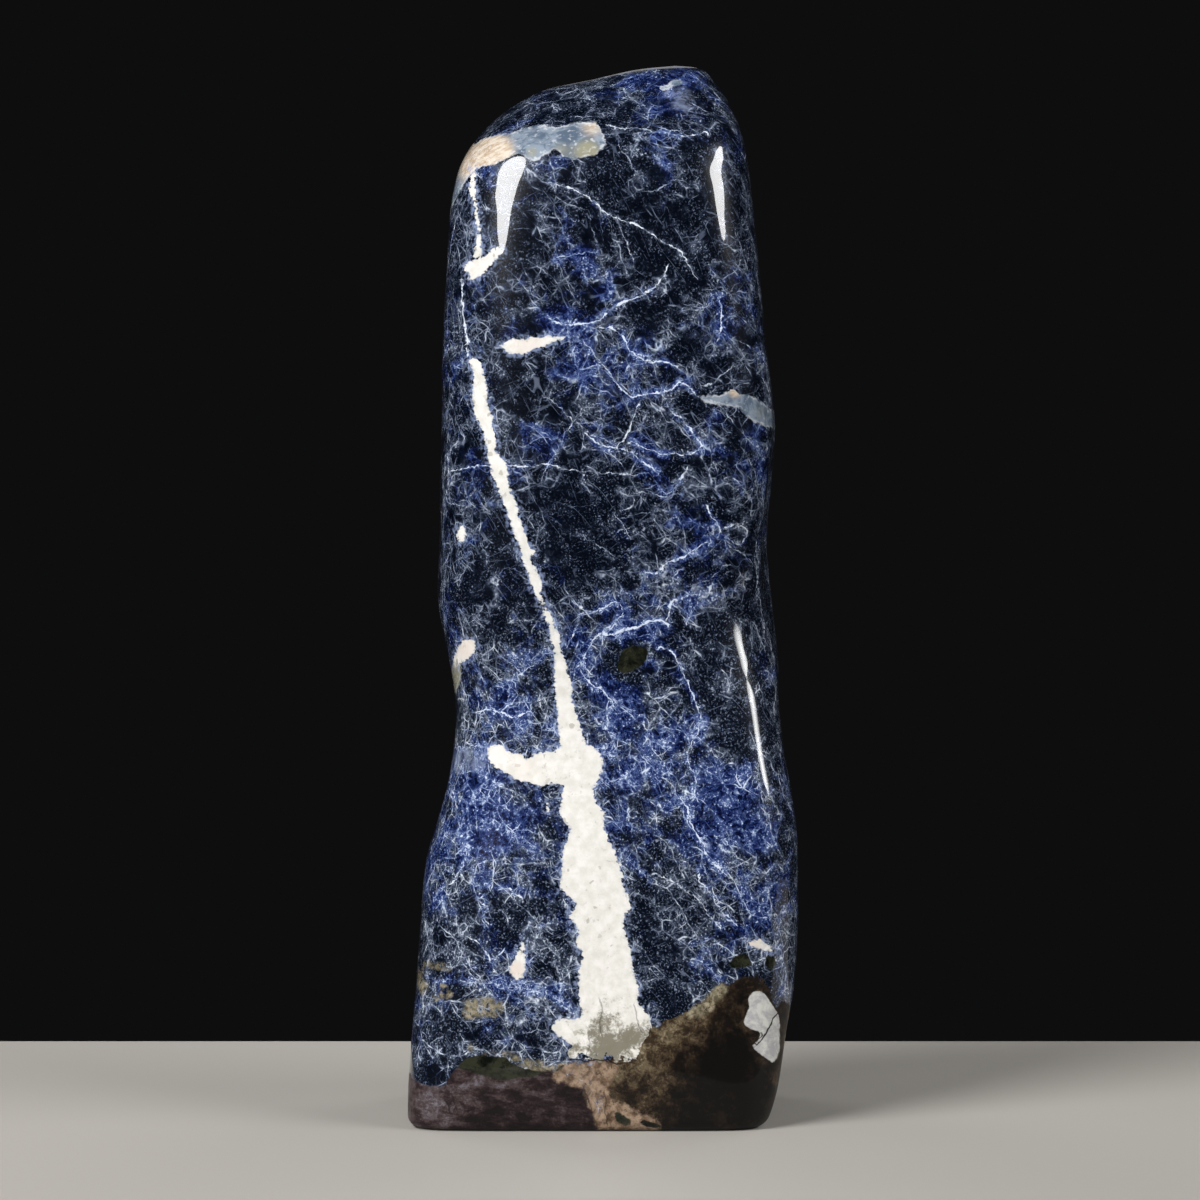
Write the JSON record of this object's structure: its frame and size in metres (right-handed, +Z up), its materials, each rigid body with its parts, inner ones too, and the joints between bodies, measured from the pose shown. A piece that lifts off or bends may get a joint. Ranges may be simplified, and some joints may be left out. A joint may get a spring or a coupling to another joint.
{
  "type": "polished sodalite freeform",
  "caption": "Tall polished block of blue sodalite with white veins, standing on its own small flat foot as a display stone.",
  "frame": {"origin": "on the surface it stands on, under the middle of the stone", "axes": "+Z up through the peak, +X to the right of the front face, -Y out of the front face"},
  "size_m": [0.1108, 0.0784, 0.3],
  "materials": {
    "sodalite": "hand-polished gloss; dark navy to royal blue stone with a fine pale web, white veins and a brown matrix at the foot"
  },
  "bodies": {
    "root": {"sodalite_stone": "sodalite"}
  },
  "joints": []
}
